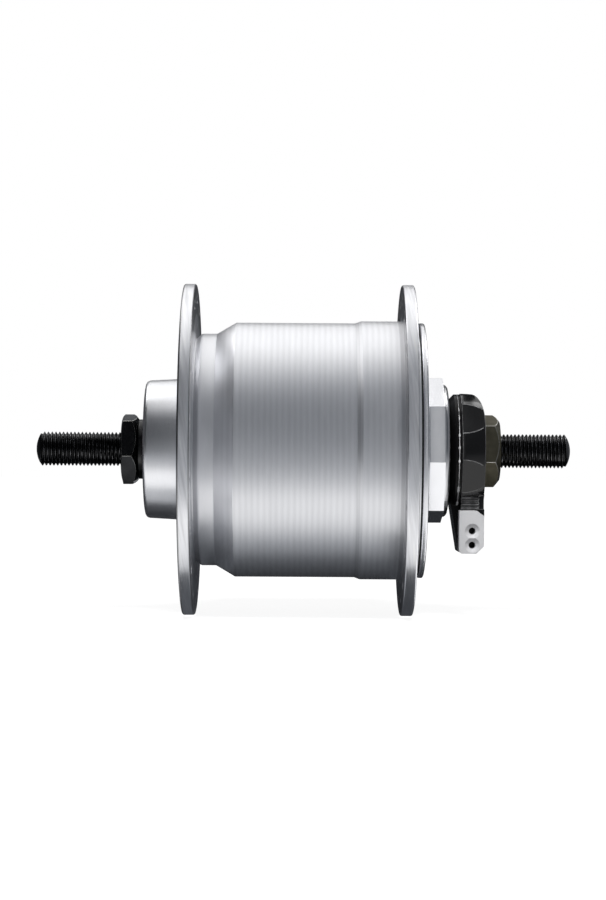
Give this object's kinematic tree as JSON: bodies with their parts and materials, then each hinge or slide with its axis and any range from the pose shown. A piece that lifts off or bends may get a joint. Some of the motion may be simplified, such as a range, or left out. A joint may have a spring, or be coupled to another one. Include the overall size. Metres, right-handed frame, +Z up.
{
  "type": "bicycle hub dynamo",
  "caption": "Front hub generator for a spoked wheel: turned aluminium shell on a threaded axle, claw-pole stator inside, black connector with a pull-off grey lamp plug.",
  "frame": {"origin": "middle of the axle, on its axis, which is also the middle of the bounding box", "axes": "+X along the axle towards the connector side, +Z up, with the plug facing -Y"},
  "size_m": [0.1416, 0.0878, 0.0878],
  "materials": {
    "axle_steel": "black-finished steel with a cut thread",
    "black_steel": "black-finished steel, slightly glossy",
    "olive_steel": "dark olive plated steel",
    "shell_aluminium": "satin turned aluminium",
    "cap_aluminium": "bright machined aluminium",
    "bearing_steel": "ground steel",
    "ball_steel": "polished steel",
    "cage_brass": "pressed brass",
    "dust_cap_steel": "pressed steel",
    "core_iron": "pressed soft iron",
    "magnet_ferrite": "dark matt ferrite",
    "coil_copper": "enamelled copper wire",
    "bobbin_plastic": "natural moulded plastic",
    "lead_insulation": "red insulation",
    "seal_rubber": "black rubber",
    "connector_plastic": "glossy black moulded plastic",
    "contact_brass": "stamped brass",
    "plug_plastic": "light grey moulded plastic",
    "carrier_plastic": "black moulded plastic"
  },
  "bodies": {
    "axle": {"axle": "axle_steel", "left_locknut": "black_steel", "left_washer": "black_steel", "left_cone": "bearing_steel", "left_cone_seal": "seal_rubber", "left_clamp_nut": "bearing_steel", "left_claw_plate": "core_iron", "core_tube": "core_iron", "bobbin": "bobbin_plastic", "coil": "coil_copper", "right_claw_plate": "core_iron", "right_clamp_nut": "bearing_steel", "coil_lead": "lead_insulation", "right_cone": "bearing_steel", "right_cone_seal": "seal_rubber", "connector_bush": "bearing_steel", "connector_back": "connector_plastic", "connector_housing": "connector_plastic", "live_contact": "contact_brass", "ground_contact": "contact_brass", "right_locknut": "olive_steel"},
    "shell": {"hub_shell": "shell_aluminium", "left_cup": "bearing_steel", "left_dust_cap": "dust_cap_steel", "yoke_ring": "core_iron", "magnet_1": "magnet_ferrite", "magnet_2": "magnet_ferrite", "magnet_3": "magnet_ferrite", "magnet_4": "magnet_ferrite", "end_cap": "cap_aluminium", "cap_seal": "seal_rubber", "right_cup": "bearing_steel", "right_dust_cap": "dust_cap_steel"},
    "left_bearing": {"left_balls": "ball_steel", "left_cage": "cage_brass"},
    "right_bearing": {"right_balls": "ball_steel", "right_cage": "cage_brass"},
    "plug": {"plug_cap": "plug_plastic", "plug_carrier": "carrier_plastic"}
  },
  "joints": [
    {"name": "hub_spin", "type": "hinge", "parent": "axle", "child": "shell", "pos_m": [0, 0, 0], "axis": [1, 0, 0], "continuous": true},
    {"name": "left_cage_spin", "type": "hinge", "parent": "axle", "child": "left_bearing", "pos_m": [-0.0365, 0, 0], "axis": [1, 0, 0], "continuous": true},
    {"name": "right_cage_spin", "type": "hinge", "parent": "axle", "child": "right_bearing", "pos_m": [0.03335, 0, 0], "axis": [1, 0, 0], "continuous": true},
    {"name": "plug_pull", "type": "slide", "parent": "axle", "child": "plug", "axis": [0, -1, 0], "range_m": [0, 0.014]}
  ],
  "couplings": [
    {"joint": "left_cage_spin", "follows": "hub_spin", "ratio": 0.5886},
    {"joint": "right_cage_spin", "follows": "hub_spin", "ratio": 0.5886}
  ]
}
